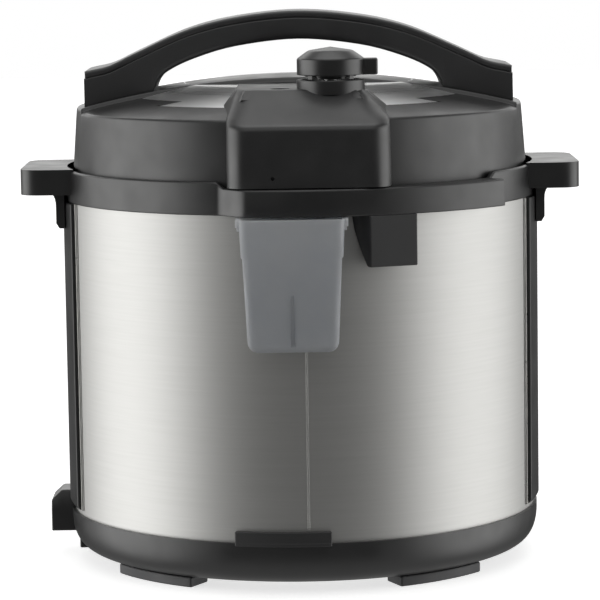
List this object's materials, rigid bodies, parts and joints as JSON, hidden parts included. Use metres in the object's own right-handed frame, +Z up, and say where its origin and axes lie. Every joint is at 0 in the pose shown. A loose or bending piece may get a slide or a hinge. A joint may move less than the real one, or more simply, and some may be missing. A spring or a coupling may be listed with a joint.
{
  "type": "electric pressure cooker",
  "caption": "Round electric pressure cooker: steel drum on a black base, domed twist-off lid with arch handle, steam valve hub, condensation cup and control panel.",
  "frame": {"origin": "on the pot's axis at floor level, the centre of the box at its base", "axes": "+Z up; +Y towards the control panel, -Y towards the steam valve hub and the condensation cup; +X is to the right when the cooker is seen from the hub's side"},
  "size_m": [0.328, 0.32, 0.3246],
  "materials": {
    "black_plastic": "satin moulded, fine texture",
    "panel_gloss": "gloss moulded",
    "lens_dark": "smoked clear",
    "key_plastic": "satin",
    "wrap_steel": "brushed round the drum",
    "pot_steel": "satin drawn steel",
    "disc_steel": "polished",
    "plated_steel": "zinc plated",
    "cast_aluminium": "cast, machined top",
    "foot_rubber": "matt",
    "silicone": "milky silicone",
    "cup_plastic": "milky translucent polypropylene",
    "dark_insert": "moulded",
    "circuit_board": "solder mask",
    "pin_brass": "plated"
  },
  "bodies": {
    "base": {"base_housing": "black_plastic", "bottom_cover": "plated_steel", "foot_pad_1": "foot_rubber", "foot_pad_2": "foot_rubber", "foot_pad_3": "foot_rubber", "foot_pad_4": "foot_rubber", "rear_clip": "black_plastic", "body_wrap": "wrap_steel", "top_collar": "black_plastic", "handle_bracket_left": "black_plastic", "handle_bracket_right": "black_plastic", "side_trim_left": "black_plastic", "side_trim_right": "black_plastic", "trim_edges": "plated_steel", "switch_housing": "black_plastic", "lid_switch": "dark_insert", "inlet_hood": "black_plastic", "mains_inlet": "dark_insert", "inlet_pins": "pin_brass", "case_screws": "plated_steel", "control_fascia": "panel_gloss", "display_lens": "lens_dark", "display_module": "dark_insert", "control_board": "circuit_board", "outer_pot": "pot_steel", "heater_plate": "cast_aluminium", "sensor_bracket": "plated_steel", "sensor_spring": "plated_steel", "thermal_fuse": "plated_steel", "pressure_switch": "dark_insert", "power_board": "circuit_board"},
    "seal": {"sealing_ring": "silicone"},
    "lid": {"lid_cover": "black_plastic", "lid_trim_disc": "disc_steel", "handle_body": "black_plastic", "handle_cap": "black_plastic", "valve_hub": "black_plastic", "pressure_lid": "pot_steel", "lid_frame": "dark_insert", "vent_pipe": "pot_steel", "vent_nut": "plated_steel", "vent_shield": "pot_steel", "ring_rack": "pot_steel", "lid_magnet": "plated_steel", "lid_screws": "plated_steel"},
    "knob": {"steam_knob": "black_plastic", "knob_weight": "plated_steel"},
    "float": {"float_pin": "plated_steel", "float_seal": "silicone"},
    "cup": {"condensation_cup": "cup_plastic"},
    "pot": {"inner_pot": "pot_steel"},
    "sensor": {"temperature_sensor": "cast_aluminium"},
    "key_1": {"button_1": "key_plastic"},
    "key_2": {"button_2": "key_plastic"},
    "key_3": {"button_3": "key_plastic"},
    "key_4": {"button_4": "key_plastic"},
    "key_5": {"button_5": "key_plastic"},
    "key_6": {"button_6": "key_plastic"},
    "key_7": {"button_7": "key_plastic"},
    "key_8": {"button_8": "key_plastic"}
  },
  "joints": [
    {"name": "lid_lift", "type": "slide", "parent": "base", "child": "seal", "axis": [0, 0, 1], "range_m": [0, 0.38]},
    {"name": "lid_turn", "type": "hinge", "parent": "seal", "child": "lid", "pos_m": [0, 0, 0.23], "axis": [0, 0, 1], "range_deg": [0, 27]},
    {"name": "knob_turn", "type": "hinge", "parent": "lid", "child": "knob", "pos_m": [0.0182, -0.098, 0.295], "axis": [0, 0, 1], "range_deg": [-45, 45]},
    {"name": "float_rise", "type": "slide", "parent": "lid", "child": "float", "axis": [0, 0, 1], "range_m": [0, 0.005]},
    {"name": "cup_slide", "type": "slide", "parent": "base", "child": "cup", "axis": [0, -1, 0], "range_m": [0, 0.06]},
    {"name": "pot_lift", "type": "slide", "parent": "base", "child": "pot", "axis": [0, 0, 1], "range_m": [0, 0.19]},
    {"name": "sensor_press", "type": "slide", "parent": "base", "child": "sensor", "axis": [0, 0, 1], "range_m": [-0.0025, 0], "stiffness_N_per_m": 800, "springref_m": 0.003, "deforming": ["sensor_spring"]},
    {"name": "key_1_press", "type": "slide", "parent": "base", "child": "key_1", "axis": [0, -1, 0], "range_m": [0, 0.0012], "stiffness_N_per_m": 600, "springref_m": -0.0015},
    {"name": "key_2_press", "type": "slide", "parent": "base", "child": "key_2", "axis": [0, -1, 0], "range_m": [0, 0.0012], "stiffness_N_per_m": 600, "springref_m": -0.0015},
    {"name": "key_3_press", "type": "slide", "parent": "base", "child": "key_3", "axis": [0, -1, 0], "range_m": [0, 0.0012], "stiffness_N_per_m": 600, "springref_m": -0.0015},
    {"name": "key_4_press", "type": "slide", "parent": "base", "child": "key_4", "axis": [0, -1, 0], "range_m": [0, 0.0012], "stiffness_N_per_m": 600, "springref_m": -0.0015},
    {"name": "key_5_press", "type": "slide", "parent": "base", "child": "key_5", "axis": [0, -1, 0], "range_m": [0, 0.0012], "stiffness_N_per_m": 600, "springref_m": -0.0015},
    {"name": "key_6_press", "type": "slide", "parent": "base", "child": "key_6", "axis": [0, -1, 0], "range_m": [0, 0.0012], "stiffness_N_per_m": 600, "springref_m": -0.0015},
    {"name": "key_7_press", "type": "slide", "parent": "base", "child": "key_7", "axis": [0, -1, 0], "range_m": [0, 0.0012], "stiffness_N_per_m": 600, "springref_m": -0.0015},
    {"name": "key_8_press", "type": "slide", "parent": "base", "child": "key_8", "axis": [0, -1, 0], "range_m": [0, 0.0012], "stiffness_N_per_m": 600, "springref_m": -0.0015}
  ],
  "couplings": [
    {"joint": "pot_lift", "follows": "lid_lift", "ratio": 0.5}
  ]
}
